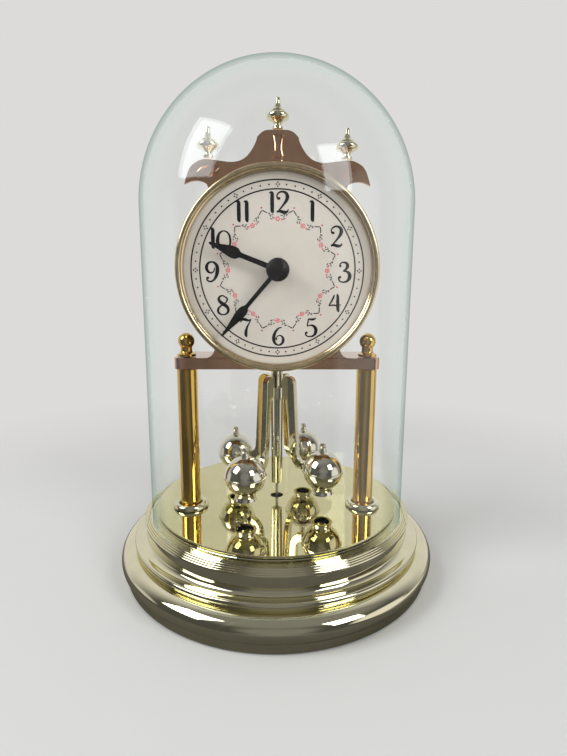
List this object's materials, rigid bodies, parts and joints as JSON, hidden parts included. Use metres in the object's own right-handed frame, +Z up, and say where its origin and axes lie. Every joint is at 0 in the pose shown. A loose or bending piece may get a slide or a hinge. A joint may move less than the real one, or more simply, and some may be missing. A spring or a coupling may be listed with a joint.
{
  "type": "anniversary clock",
  "caption": "Battery-driven anniversary clock: a round dial on two columns over a revolving ball pendulum, under a lift-off glass dome on a stepped round base.",
  "frame": {"origin": "middle of the base, level with the undersides of the foot pads", "axes": "+Z up along the dome and pendulum axis, the dial faces -Y, +X to the right seen from the front"},
  "size_m": [0.152, 0.152, 0.2289],
  "materials": {
    "metallised_plastic": "pale gold vacuum plating, mirror bright",
    "plated_sheet": "pale gold plating, satin to bright",
    "mirror_plate": "mirror bright",
    "column_brass": "polished yellow brass",
    "plain_brass": "turned",
    "black_hand": "satin black",
    "dial_paper": "printed, off-white",
    "black_plastic": "moulded",
    "white_plastic": "moulded",
    "steel": "plain",
    "circuit_board": "laminate",
    "felt": "felt",
    "copper": "wound wire",
    "battery_jacket": "printed jacket",
    "glass": "clear, slightly green at the edges"
  },
  "bodies": {
    "frame": {"base_shell": "metallised_plastic", "base_cover": "black_plastic", "cover_screw_1": "steel", "cover_screw_2": "steel", "cover_screw_3": "steel", "foot_pad_1": "felt", "foot_pad_2": "felt", "foot_pad_3": "felt", "foot_pad_4": "felt", "ballast_ring": "steel", "mirror_plate": "mirror_plate", "guide_cup": "black_plastic", "column_collar_left": "metallised_plastic", "column_collar_right": "metallised_plastic", "column_left": "column_brass", "column_right": "column_brass", "tie_rod_left": "steel", "tie_rod_right": "steel", "tie_rod_nut_left": "steel", "tie_rod_nut_right": "steel", "ball_finial_left": "column_brass", "ball_finial_right": "column_brass", "top_bridge": "plated_sheet", "crest_plate": "plated_sheet", "urn_finial_centre": "metallised_plastic", "urn_finial_left": "metallised_plastic", "urn_finial_right": "metallised_plastic", "bezel": "plated_sheet", "dial_carrier": "white_plastic", "dial": "dial_paper", "movement_case": "black_plastic", "movement_back": "black_plastic", "centre_bushing": "plain_brass", "fixing_nut": "plain_brass", "battery": "battery_jacket", "battery_contact_plus": "steel", "battery_contact_minus": "steel", "circuit_board": "circuit_board", "step_motor": "white_plastic", "pendulum_coil": "copper", "bearing_bush": "plain_brass"},
    "dome": {"glass_dome": "glass"},
    "pendulum": {"pendulum_spindle": "steel", "drive_magnet": "steel", "hanger_sleeve": "metallised_plastic", "pendulum_spider": "metallised_plastic", "fluted_column": "metallised_plastic", "pendulum_ball_1": "metallised_plastic", "pendulum_ball_2": "metallised_plastic", "pendulum_ball_3": "metallised_plastic", "pendulum_ball_4": "metallised_plastic"},
    "minute_train": {"centre_arbor": "steel", "minute_hand": "black_hand", "hub_cap": "black_hand"},
    "hour_train": {"hour_pipe": "plain_brass", "hour_hand": "black_hand"},
    "reverse_wheel": {"reverse_wheel": "white_plastic"},
    "third_wheel": {"third_wheel": "white_plastic"},
    "setting_knob": {"setting_knob": "black_plastic"},
    "battery_cover": {"battery_cover": "black_plastic"}
  },
  "joints": [
    {"name": "dome_lift", "type": "slide", "parent": "frame", "child": "dome", "axis": [0, 0, 1], "range_m": [0, 0.2]},
    {"name": "pendulum_spin", "type": "hinge", "parent": "frame", "child": "pendulum", "pos_m": [0, 0, 0.1], "axis": [0, 0, 1], "continuous": true},
    {"name": "minute_spin", "type": "hinge", "parent": "frame", "child": "minute_train", "pos_m": [0, 0, 0.141], "axis": [0, 1, 0], "continuous": true},
    {"name": "hour_spin", "type": "hinge", "parent": "frame", "child": "hour_train", "pos_m": [0, 0, 0.141], "axis": [0, 1, 0], "continuous": true},
    {"name": "reverse_spin", "type": "hinge", "parent": "frame", "child": "reverse_wheel", "pos_m": [0, 0, 0.1513], "axis": [0, 1, 0], "continuous": true},
    {"name": "third_spin", "type": "hinge", "parent": "frame", "child": "third_wheel", "pos_m": [0.0108, 0, 0.141], "axis": [0, 1, 0], "continuous": true},
    {"name": "setting_spin", "type": "hinge", "parent": "frame", "child": "setting_knob", "pos_m": [0, 0, 0.1616], "axis": [0, 1, 0], "continuous": true},
    {"name": "battery_cover_pull", "type": "slide", "parent": "frame", "child": "battery_cover", "axis": [0, 1, 0], "range_m": [0, 0.025]}
  ],
  "couplings": [
    {"joint": "hour_spin", "follows": "minute_spin", "ratio": 0.083333},
    {"joint": "reverse_spin", "follows": "minute_spin", "ratio": -0.33333},
    {"joint": "third_spin", "follows": "minute_spin", "ratio": -6},
    {"joint": "setting_spin", "follows": "minute_spin", "ratio": 1}
  ]
}
